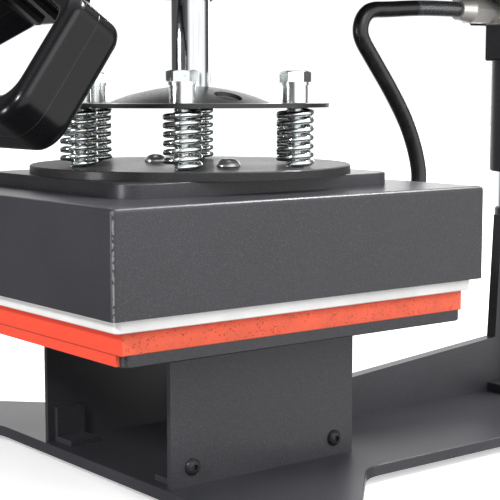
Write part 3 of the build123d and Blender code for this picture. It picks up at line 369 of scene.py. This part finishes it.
def silicone_sponge(name, colour, seam, front):
    """Silicone with pores in its cut sides and a smooth skin in front; its lip is glued on at seam.
    Its pores, front face and seam carry painted shade, and its cut sides painted sheen.
    """
    f = Finish(name, Subsurface_Weight=0.12, Subsurface_Scale=0.002, IOR=1.4, Sheen_Weight=0.08)
    f.shader.inputs["Subsurface Radius"].default_value = (1.0, 0.25, 0.1)
    cells = f.node("ShaderNodeTexVoronoi", None, {"Vector": f.place, "Scale": 620.0}, "Distance")
    pore = 1 - cells.step(0.18, 0.42)
    chosen = f.noise(240, 2, 0.6).step(0.5, 0.62)
    cut = (f.axis("Y", f.place) - front).step(0.3 * MM, 1.5 * MM)
    pore = pore * chosen * (cut * 0.85 + 0.15)
    cloud = f.noise(55, 4, 0.65)
    fine = f.noise(1300, 2, 0.6)
    base = f.blend(cloud.step(0.3, 0.72), tone(colour, 0.82), colour)
    # Painted sheen and shade: the front face is turned a deeper, darker red and the cut sides get pale
    # salmon mottling, standing in for the sheen the sides catch and the front lacks.
    base = f.blend((1 - cut) * 0.8, base, tone((colour[0], colour[1] * 0.5, colour[2] * 0.5), 0.92))
    base = f.blend(fine * (cut * 0.3 + 0.05), base, (0.95, 0.30, 0.20))
    # Painted shade: the pores are darkened as if in shadow, besides the bump that sinks them.
    base = f.blend(pore * 0.75, base, tone(colour, 0.34))
    # Painted shade: a dark line along the seam, as if in the step where the lip meets the pad.
    off = (f.axis("Z", f.place) - seam).through("ABSOLUTE")
    seam_shade = (1 - off.step(0.15 * MM, 0.75 * MM)) * (0.45 + cloud * 0.6)
    base = f.blend(seam_shade, base, tone(colour, 0.3))
    height = fine * 0.5 + cloud * 0.3 - pore * 1.2
    shine = 0.62 + fine * 0.2
    return f.wire(Base_Color=base, Roughness=shine, Normal=f.bump(height, 0.4 * MM, 0.8))


def glossy_moulding(name, colour, parting=None):
    """Glossy moulding with a hint of sink, hairlines and, where given, a raised parting line with a
    painted highlight.
    """
    f = Finish(name, IOR=1.32, Coat_Roughness=0.1)
    sink = f.noise(26, 2, 0.4)
    hair = f.noise(700, 4, 0.7, f.stretched(0.2, 1, 1))
    dust = f.noise(2100, 0, 0.5).step(0.7, 0.78)
    base = f.blend(dust * 0.3, colour, tone(colour, 14))
    shine = 0.2 + hair.step(0.55, 0.8) * 0.12 + sink * 0.06
    height = sink
    if parting:
        line = 1 - parting(f).step(0.1 * MM, 0.5 * MM)
        # Painted highlight: the parting line is lightened as if its ridge caught the light.
        base = f.blend(line * (sink - 0.25), base, tone(colour, 16))
        height = sink + line * 0.5
    normal = f.bump(height, 0.8 * MM, 0.25)
    return f.wire(Base_Color=base, Roughness=shine, Normal=normal, Coat_Weight=0.02 + sink * 0.1)


def off_grip_middle(f):
    """Distance from the plane in which the grip's two halves meet."""
    y, z = GRIP_MIDDLE
    behind = f.axis("Y", f.place) - (SHAFT_Y + y * MM)
    over = f.axis("Z", f.place) - z * MM
    away = over * math.sin(GRIP_TILT) - behind * math.cos(GRIP_TILT)
    return away.through("ABSOLUTE")


def matt_moulding(name, colour, rough=0.55):
    """Spark-eroded plastic texture."""
    f = Finish(name, IOR=1.46)
    grain = f.noise(1700, 3, 0.65)
    cloud = f.noise(30, 2, 0.5)
    base = f.blend(cloud.step(0.3, 0.7), tone(colour, 0.9), tone(colour, 1.15))
    return f.wire(Base_Color=base, Roughness=rough + (grain - 0.5) * 0.2,
                  Normal=f.bump(grain, 0.12 * MM, 0.5))


def smoked_window(name):
    """Smoked display window with uneven smears."""
    f = Finish(name, IOR=1.5)
    smear = f.noise(45, 3, 0.6)
    base = f.blend(smear.step(0.3, 0.8), (0.012, 0.016, 0.016), (0.03, 0.035, 0.035))
    return f.wire(Base_Color=base, Roughness=0.07 + smear.step(0.5, 0.8) * 0.12)


def fibre_board(name):
    """Pressed mineral fibre."""
    f = Finish(name, IOR=1.4, Sheen_Weight=0.2)
    strand = f.noise(380, 5, 0.75, f.stretched(1, 3, 1))
    fleck = f.noise(900, 2, 0.6)
    base = f.blend(strand.step(0.3, 0.7), (0.62, 0.58, 0.48), (0.84, 0.81, 0.74))
    return f.wire(Base_Color=base, Roughness=0.8 + fleck * 0.15,
                  Normal=f.bump(strand + fleck * 0.4, 0.5 * MM, 0.7))


def heat_tinted(name):
    """Steel sheath with straw and blue oxide bands."""
    f = Finish(name, Metallic=1.0)
    tint = f.noise(16, 3, 0.6)
    stops = [(0.25, (0.42, 0.38, 0.33)), (0.5, (0.50, 0.38, 0.22)), (0.75, (0.22, 0.22, 0.32))]
    base = f.node("ShaderNodeValToRGB", {"stops": stops}, {"Fac": tint})
    return f.wire(Base_Color=base, Roughness=0.34 + tint * 0.2,
                  Normal=f.bump(f.noise(1200, 2), 0.05 * MM, 0.4))


def soft_rubber(name, colour):
    """Black rubber with bloom and moulding grain."""
    f = Finish(name, IOR=1.45)
    bloom = f.noise(40, 3, 0.6)
    grain = f.noise(1400, 2, 0.6)
    base = f.blend(bloom.step(0.35, 0.75), colour, tone(colour, 2.2))
    return f.wire(Base_Color=base, Roughness=0.5 + bloom * 0.25,
                  Normal=f.bump(grain, 0.1 * MM, 0.5))


def cable_cover(name, length):
    """Smooth black rubber hose low down, open steel braid over black near the gland."""
    f = Finish(name, IOR=1.5, Coat_Roughness=0.12)
    uv = f.node("ShaderNodeUVMap", {"uv_map": "along"})
    around = f.axis("X", uv)
    along = f.axis("Y", uv)
    bare = along.step(0.835, 0.85)
    strands = 14.0
    turns = length / (22 * MM)

    def lay(sign):
        phase = around * strands + along * (turns * strands * sign)
        return (phase * math.tau).through("SINE").step(0.1, 0.6)

    over = ((around * strands * 2) * math.tau).through("SINE").step(-0.2, 0.2)
    wires = lay(1.0) * over + lay(-1.0) * (1 - over)
    metal = wires * bare
    grain = f.noise(900, 2, 0.6)
    scuff = f.noise(120, 3, 0.6)
    black = f.blend(scuff.step(0.4, 0.8), (0.010, 0.010, 0.011), (0.022, 0.022, 0.024))
    base = f.blend(metal * 0.85, black, (0.55, 0.56, 0.58))
    shine = 0.20 + scuff * 0.18 + metal * 0.05
    normal = f.bump(metal + grain * 0.05, 0.6 * MM, 0.8)
    return f.wire(Base_Color=base, Roughness=shine, Metallic=metal * 0.9, Normal=normal)


# Finish of each CAD node that stays in view
NODE_FINISH = {
    "coat": ["base_plate", "pedestal", "pedestal_lugs", "gusset_plate", "column_socket",
             "column_flange", "swivel_tube", "swivel_block", "arm_cheek_left", "arm_cheek_right",
             "arm_bottom_plate", "arm_top_plate", "guide_housing", "gland_plate", "tier_plate",
             "lower_platen"],
    # The cover's coat has a pale line down its front right corner, partly worn paint and partly a
    # painted highlight.
    "wear_highlight_coat": ["cover"],
    "enamel": ["lever_bars", "flange"],
    "dull_enamel": ["spring_disc", "pedestal_screws"],
    "zinc": ["arm_bolts", "column_bolts", "pressure_nut", "bolt_sleeves"],
    "dull_zinc": ["disc_screws"],
    "steel": ["cam_axle", "cam", "roller", "roller_pin"],
    "steel_upright": ["arm_spacers", "thrust_washer", "grip_screws", "roller_fork"],
    "chrome": ["column_post", "press_shaft"],
    "aluminium": ["heat_plate"],
    "grip": ["grip_front", "grip_rear"],
    "rubber": ["rubber_feet", "cover_gland"],
    "fibre": ["insulation"],
    "element": ["heating_element"],
    "nickel": ["gland_body", "gland_nut"],
    "bronze": ["swivel_bushes", "guide_bush"],
    "plastic": ["control_box", "control_panel", "mains_inlet"],
    "window": ["display"],
    "buttons": ["button_set", "button_up", "button_down"],
    "rocker": ["power_switch"],
}


def deselect():
    """Nothing selected, in object mode."""
    bpy.ops.object.select_all(action="DESELECT")


def only(piece):
    """Selects one piece and makes it active."""
    deselect()
    piece.select_set(True)
    bpy.context.view_layer.objects.active = piece


def settle(piece, angle=40):
    """Puts the piece's place into its mesh and shades it smooth up to an angle."""
    only(piece)
    bpy.ops.object.transform_apply(location=True, rotation=True, scale=True)
    bpy.ops.object.shade_smooth_by_angle(angle=math.radians(angle))


def paint(piece, material):
    """One finish all over."""
    piece.data.materials.clear()
    piece.data.materials.append(material)


def spline_line(points):
    """Points along the open NURBS spline that has the given control points."""
    curve = bpy.data.curves.new("line", "CURVE")
    curve.dimensions = "3D"
    spline = curve.splines.new("NURBS")
    spline.points.add(len(points) - 1)
    for point, at in zip(spline.points, points):
        point.co = (*at, 1)
    spline.order_u = 3
    spline.use_endpoint_u = True
    spline.resolution_u = 12
    bare = bpy.data.objects.new("line", curve)
    bpy.context.collection.objects.link(bare)
    mesh = bpy.data.meshes.new_from_object(bare)
    found = [vertex.co.copy() for vertex in mesh.vertices]
    bpy.data.meshes.remove(mesh)
    bpy.data.objects.remove(bare)
    return found


def swept(name, path, radius, sides, start_up):
    """Closed mesh tube along a path, with a UV map that runs round and along it."""
    mesh = bpy.data.meshes.new(name)
    work = bmesh.new()
    layer = work.loops.layers.uv.new("along")
    reach = [0.0]
    for before, here in zip(path, path[1:]):
        reach.append(reach[-1] + (here - before).length)
    rings = []
    up = Vector(start_up)
    for i, point in enumerate(path):
        ahead = path[min(i + 1, len(path) - 1)] - path[max(i - 1, 0)]
        ahead.normalize()
        up = (up - ahead * up.dot(ahead)).normalized()
        side = ahead.cross(up)
        ring = []
        for k in range(sides):
            turn = math.tau * k / sides
            outward = up * math.cos(turn) + side * math.sin(turn)
            ring.append(work.verts.new(point + outward * radius))
        rings.append(ring)
    for i, (low, high) in enumerate(zip(rings, rings[1:])):
        for k in range(sides):
            nxt = (k + 1) % sides
            face = work.faces.new((low[k], low[nxt], high[nxt], high[k]))
            corners = [(k, i), (k + 1, i), (k + 1, i + 1), (k, i + 1)]
            for loop, (u, v) in zip(face.loops, corners):
                loop[layer].uv = (u / sides, reach[v] / reach[-1])
    work.faces.new(rings[0])
    work.faces.new(rings[-1])
    bmesh.ops.recalc_face_normals(work, faces=work.faces)
    work.to_mesh(mesh)
    work.free()
    piece = bpy.data.objects.new(name, mesh)
    bpy.context.collection.objects.link(piece)
    only(piece)
    bpy.ops.object.shade_smooth_by_angle(angle=math.radians(50))
    return piece


class PRESS_OT_camera(bpy.types.Operator):
    """Places the camera at the photograph's angle."""

    bl_idname = "press.camera"
    bl_label = "Camera"

    def execute(self, context):
        data = bpy.data.cameras.new("camera")
        data.sensor_width = CAMERA_SENSOR
        data.lens = CAMERA_LENS
        data.clip_start = 0.05
        data.clip_end = 50
        camera = bpy.data.objects.new("camera", data)
        context.collection.objects.link(camera)
        camera.location = CAMERA_PLACE
        camera.rotation_mode = "QUATERNION"
        camera.rotation_quaternion = Vector(CAMERA_WAY).to_track_quat("-Z", "Y")
        context.scene.camera = camera
        return {"FINISHED"}


class PRESS_OT_cable(bpy.types.Operator):
    """Rubber-covered cable from the heated platen up to the gland under the arm."""

    bl_idname = "press.cable"
    bl_label = "Cable"

    def execute(self, context):
        sizes = context.scene.press_sizes
        points = [Vector((0, SHAFT_Y + y * MM, z * MM)) for y, z in CABLE_ROUTE]
        path = spline_line(points)
        length = sum((b - a).length for a, b in zip(path, path[1:]))
        cable = swept("cable", path, sizes.cable_d / 2, 20, (1, 0, 0))
        paint(cable, cable_cover("cable_cover", length))
        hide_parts("cable_sleeve")
        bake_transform(cable)
        return {"FINISHED"}


class PRESS_OT_finishes(bpy.types.Operator):
    """Gives every CAD node in view its procedural finish."""

    bl_idname = "press.finishes"
    bl_label = "Finishes"

    def execute(self, context):
        colours = context.scene.press_colours
        cover_low, cover_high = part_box("cover")
        front_right = (cover_high[0], cover_low[1])
        coat, enamel, zinc = tuple(colours.coat), tuple(colours.enamel), tuple(colours.zinc)
        steel = (0.62, 0.62, 0.63)
        made = {
            "coat": powder_coat("powder_coat", coat),
            # Cover coat with a pale corner line, partly wear and partly painted highlight.
            "wear_highlight_coat": powder_coat("powder_coat_wear_highlight", coat, wear_highlight_corner=front_right),
            "enamel": enamel_coat("gloss_enamel", enamel),
            "dull_enamel": enamel_coat("satin_enamel", enamel, 0.55, 0.0),
            "zinc": plated("zinc_plate", zinc),
            # Painted reflection: the screws' zinc is brightened to white, a lit copy of the bolts'
            # zinc.
            "dull_zinc": plated("screw_zinc", tone(zinc, 1.3), 0.3, metal=0.85),
            "steel": turned_steel("turned_steel", steel, "X"),
            "steel_upright": turned_steel("machined_steel", steel, "Z"),
            "chrome": chromed("hard_chrome"),
            "aluminium": pale_aluminium("aluminium_plate"),
            "grip": glossy_moulding("grip_moulding", tuple(colours.grip), off_grip_middle),
            "rubber": soft_rubber("black_rubber", (0.012, 0.012, 0.013)),
            "fibre": fibre_board("fibre_board"),
            "element": heat_tinted("heat_tinted_steel"),
            "nickel": plated("nickel_plate", (0.90, 0.88, 0.84), 0.34, (0.90, 0.86, 0.78), 0.55),
            "bronze": plated("oiled_bronze", (0.50, 0.32, 0.14), 0.32, (0.42, 0.28, 0.14)),
            "plastic": matt_moulding("box_plastic", (0.030, 0.030, 0.032)),
            "window": smoked_window("display_window"),
            "buttons": matt_moulding("button_plastic", (0.42, 0.43, 0.45), 0.42),
            "rocker": glossy_moulding("rocker_plastic", (0.50, 0.014, 0.010)),
        }
        for finish, nodes in NODE_FINISH.items():
            for node in nodes:
                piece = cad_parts[node]
                paint(piece, made[finish])
                only(piece)
                bpy.ops.object.shade_smooth_by_angle(angle=math.radians(32))
        return {"FINISHED"}


class PRESS_OT_pad(bpy.types.Operator):
    """Silicone pad with its front lip, cut edges softened and pores in its sides."""

    bl_idname = "press.pad"
    bl_label = "Silicone pad"

    def execute(self, context):
        sizes = context.scene.press_sizes
        low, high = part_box("silicone_pad")
        plate_low, plate_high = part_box("lower_platen")
        inset = 7 * MM
        lip_front = low[1] + 0.5 * MM
        lip_top = (high[0] - inset, plate_low[1], plate_high[2])
        blocks = [
            ((low[0], low[1], plate_high[2]), high),
            ((low[0] + inset, lip_front, low[2]), lip_top),
        ]
        made = []
        for bottom, top in blocks:
            deselect()
            centre = [(a + b) / 2 for a, b in zip(bottom, top)]
            span = [b - a for a, b in zip(bottom, top)]
            bpy.ops.mesh.primitive_cube_add(size=1, location=centre, scale=span)
            made.append(context.object)
        deselect()
        for piece in made:
            piece.select_set(True)
        context.view_layer.objects.active = made[0]
        bpy.ops.object.transform_apply(location=True, rotation=True, scale=True)
        union = made[0].modifiers.new("join", "BOOLEAN")
        union.operation = "UNION"
        union.solver = "EXACT"
        union.object = made[1]
        only(made[0])
        bpy.ops.object.modifier_apply(modifier="join")
        bpy.data.objects.remove(made[1])
        pad = made[0]
        pad.name = "pad"
        bevel = pad.modifiers.new("edge", "BEVEL")
        bevel.width = sizes.pad_edge
        bevel.segments = 3
        bevel.limit_method = "ANGLE"
        bpy.ops.object.modifier_apply(modifier="edge")
        settle(pad)
        colour = tuple(context.scene.press_colours.silicone)
        paint(pad, silicone_sponge("silicone_sponge", colour, seam=plate_high[2], front=low[1]))
        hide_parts("silicone_pad")
        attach(pad, "base")
        return {"FINISHED"}


def coil_points(mean_r, wire, height, coil):
    """Helix with closed ends: the first and last turns rise only a little more than a wire."""
    turns, closed, steps = coil
    points = []
    rise = height - wire
    pitch = (rise - 2 * closed) / (turns - 2)
    for i in range(int(turns * steps) + 1):
        turn = i / steps
        angle = COIL_START + math.tau * turn
        if turn < 1:
            z = closed * turn
        elif turn > turns - 1:
            z = rise - closed * (turns - turn)
        else:
            z = closed + pitch * (turn - 1)
        points.append(Vector((mean_r * math.cos(angle), mean_r * math.sin(angle), wire / 2 + z)))
    return points


def bolt_spot(sizes, k, z):
    """Where one of the six bolts stands, at a height."""
    turn = sizes.bolt_phase + math.tau * k / BOLTS
    out = sizes.bolt_circle
    return Vector((out * math.cos(turn), SHAFT_Y + out * math.sin(turn), z))


class PRESS_OT_springs(bpy.types.Operator):
    """Six press springs on the disc and the return spring under the pressure nut."""

    bl_idname = "press.springs"
    bl_label = "Springs"

    def execute(self, context):
        sizes = context.scene.press_sizes
        zinc = plated("spring_zinc", tuple(context.scene.press_colours.zinc), 0.18)
        low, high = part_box("press_springs")
        height = high[2] - low[2]
        helix = coil_points(sizes.coil_r, sizes.wire_d, height, PRESS_COIL)
        for k in range(BOLTS):
            foot = bolt_spot(sizes, k, low[2])
            path = [foot + p for p in helix]
            spring = swept(f"press_spring_{k + 1}", path, sizes.wire_d / 2, 12, (0, 0, 1))
            paint(spring, zinc)
            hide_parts("press_springs")
            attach(spring, "platen")
            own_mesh(spring)
        low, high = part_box("return_spring")
        foot = Vector((0, SHAFT_Y, low[2]))
        height = high[2] - low[2]
        path = [foot + p for p in coil_points(RETURN_RADIUS, RETURN_WIRE, height, RETURN_COIL)]
        spring = swept("return_coil", path, RETURN_WIRE / 2, 12, (0, 0, 1))
        paint(spring, zinc)
        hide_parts("return_spring")
        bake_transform(spring)
        return {"FINISHED"}


def bolt_mesh(name, reach, sizes):
    """Hexagon bolt with a helical thread and a chamfered head that stands on Z = 0."""
    mesh = bpy.data.meshes.new(name)
    work = bmesh.new()

    def corner_at(out, turn, z):
        return work.verts.new((out * math.cos(turn), out * math.sin(turn), z))

    def skin(rings):
        for low, high in zip(rings, rings[1:]):
            for k, corner in enumerate(low):
                nxt = (k + 1) % len(low)
                work.faces.new((corner, low[nxt], high[nxt], high[k]))
        work.faces.new(rings[0])
        work.faces.new(rings[-1])

    pitch = sizes.thread_pitch
    sides = 20
    steps = int(reach / pitch * 6)
    rings = []
    for i in range(steps + 1):
        z = -reach + reach * i / steps
        ring = []
        for k in range(sides):
            flank = (z / pitch - k / sides) % 1
            depth = THREAD_DEPTH * pitch * abs(2 * flank - 1) if i < steps else 0
            ring.append(corner_at(THREAD_RADIUS - depth, math.tau * k / sides, z))
        rings.append(ring)
    skin(rings)

    sides = 48
    head = sizes.head_height
    crown = sizes.head_flats * HEAD_CROWN
    rings = [[], [], []]
    for k in range(sides):
        turn = math.tau * k / sides
        hexagon = sizes.head_flats / 2 / math.cos((turn % (math.pi / 3)) - math.pi / 6)
        fall = (hexagon - crown) * math.tan(HEAD_CHAMFER)
        for ring, out, z in zip(rings, (hexagon, hexagon, crown), (0, head - fall, head)):
            ring.append(corner_at(out, turn, z))
    skin(rings)
    bmesh.ops.recalc_face_normals(work, faces=work.faces)
    work.to_mesh(mesh)
    work.free()
    return mesh


class PRESS_OT_bolts(bpy.types.Operator):
    """Six hexagon bolts that guide the flange, threaded down to the disc."""

    bl_idname = "press.bolts"
    bl_label = "Press bolts"

    def execute(self, context):
        sizes = context.scene.press_sizes
        zinc = plated("bolt_zinc", tuple(context.scene.press_colours.zinc), 0.16)
        low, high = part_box("press_bolts")
        seat = high[2] - sizes.head_height
        for k in range(BOLTS):
            name = f"press_bolt_{k + 1}"
            mesh = bolt_mesh(name, seat - low[2], sizes)
            # Each head stopped at its own turn when it was tightened
            mesh.transform(Matrix.Rotation(math.radians(7 * (k % 5) - 8), 4, "Z"))
            bolt = bpy.data.objects.new(name, mesh)
            context.collection.objects.link(bolt)
            bolt.location = bolt_spot(sizes, k, seat)
            settle(bolt, 28)
            paint(bolt, zinc)
            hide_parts("press_bolts")
            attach(bolt, "platen")
        return {"FINISHED"}


def studio_walls():
    """White to the camera; to the press, dim walls with a broad panel on its right and one behind.

    Reflections see the right-hand panel wider and lower than matt surfaces do, and a ceiling light.
    Matt surfaces see the pale table instead, on the right and in front.
    """
    world = bpy.data.worlds.new("studio")
    w = Wiring(world)
    way = w.node("ShaderNodeTexCoord", output="Generated")
    across, along, up = (w.axis(letter, way) for letter in "XYZ")
    mirrored = w.node("ShaderNodeLightPath", output="Is Glossy Ray")
    matt = 1 - mirrored
    above_table = up.step(0.0, 0.08)
    below_table = 1 - above_table

    def towards(x, y, edge, full):
        """1 where the way looks along (x, y), 0 where it looks aside."""
        return (across * x + along * y).step(edge, full)

    wide = towards(0.98, 0.17, 0.40, 0.75) * up.step(-0.34, -0.22) * mirrored
    narrow = towards(0.80, 0.60, 0.45, 0.65) * above_table * matt
    right = (wide * 1.6 + narrow * 2.6) * (1 - up.step(0.62, 0.75))
    table_right = towards(0.80, 0.60, 0.40, 0.80) * 0.75
    table_front = towards(0.30, -0.95, 0.35, 0.85) * 0.5
    table = (table_right + table_front) * below_table * matt
    behind = towards(-0.79, 0.61, 0.72, 0.92) * (1 - up.step(0.45, 0.70)) * 1.2
    ceiling = up.step(0.72, 0.86) * (0.1 + mirrored * 0.8)
    lit = right + table + behind + ceiling + mirrored * 0.12 + 0.02

    seen = w.node("ShaderNodeLightPath", output="Is Camera Ray")
    strength = seen * 1.07 + (1 - seen) * lit
    shade = w.node("ShaderNodeBackground", None, {"Color": (1, 1, 1, 1), "Strength": strength})
    out = w.tree.nodes.new("ShaderNodeOutputWorld")
    w.tree.links.new(shade.socket, out.inputs[0])
    return world


class PRESS_OT_stage(bpy.types.Operator):
    """Pale floor that glows, white surroundings and soft studio lights."""

    bl_idname = "press.stage"
    bl_label = "Stage"

    def execute(self, context):
        scene = context.scene
        scene.view_settings.view_transform = "Standard"
        scene.world = studio_walls()
        deselect()
        bpy.ops.mesh.primitive_plane_add(size=16, location=(0, 0, -0.0005))
        floor = context.object
        floor.name = "floor"
        f = Finish("studio_floor", IOR=1.2, Emission_Strength=1.0)
        cloud = f.noise(2, 2, 0.5)
        pale = f.blend(cloud, (0.80, 0.80, 0.80), (0.84, 0.84, 0.84))
        away = f.node("ShaderNodeVectorMath", {"operation": "LENGTH"}, {0: f.place}, "Value")
        # Painted light: the floor glows, dimmer within about a metre of the press so that its shadows
        # still show, full white further off.
        glow = f.blend(away.step(0.3, 1.2), (0.45, 0.45, 0.45), (1.1, 1.1, 1.1))
        paint(floor, f.wire(Base_Color=pale, Roughness=0.7 + cloud * 0.1, Emission_Color=glow))
        floor.visible_diffuse = False
        floor.visible_glossy = False
        for name, place, power, width, height in LAMPS:
            data = bpy.data.lights.new(name, "AREA")
            data.shape = "RECTANGLE"
            data.size = width
            data.size_y = height
            data.energy = power
            light = bpy.data.objects.new(name, data)
            scene.collection.objects.link(light)
            light.location = place
            light.rotation_mode = "QUATERNION"
            aim = Vector(PRESS_MIDDLE) - Vector(place)
            light.rotation_quaternion = aim.to_track_quat("-Z", "Y")
        return {"FINISHED"}


STEPS = [PRESS_OT_camera, PRESS_OT_cable, PRESS_OT_finishes, PRESS_OT_pad, PRESS_OT_springs,
         PRESS_OT_bolts, PRESS_OT_stage]


class PRESS_PT_panel(bpy.types.Panel):
    """Lists the steps in the 3D view's sidebar."""

    bl_idname = "PRESS_PT_panel"
    bl_label = "Heat Press"
    bl_space_type = "VIEW_3D"
    bl_region_type = "UI"
    bl_category = "Heat Press"

    def draw(self, context):
        for step in STEPS:
            self.layout.operator(step.bl_idname)
        for group in (context.scene.press_sizes, context.scene.press_colours):
            for name in group.bl_rna.properties.keys():
                if name not in ("rna_type", "name"):
                    self.layout.prop(group, name)


CLASSES = [PressSizes, PressColours, *STEPS, PRESS_PT_panel]


def register():
    """Registers the classes and the settings on the scene."""
    for item in CLASSES:
        bpy.utils.register_class(item)
    bpy.types.Scene.press_sizes = PointerProperty(type=PressSizes)
    bpy.types.Scene.press_colours = PointerProperty(type=PressColours)


def unregister():
    """Takes the settings and the classes away again."""
    del bpy.types.Scene.press_colours
    del bpy.types.Scene.press_sizes
    for item in reversed(CLASSES):
        bpy.utils.unregister_class(item)


def main():
    """Runs every step in order."""
    register()
    for step in STEPS:
        group, name = step.bl_idname.split(".")
        getattr(getattr(bpy.ops, group), name)()


if __name__ == "__main__":
    main()
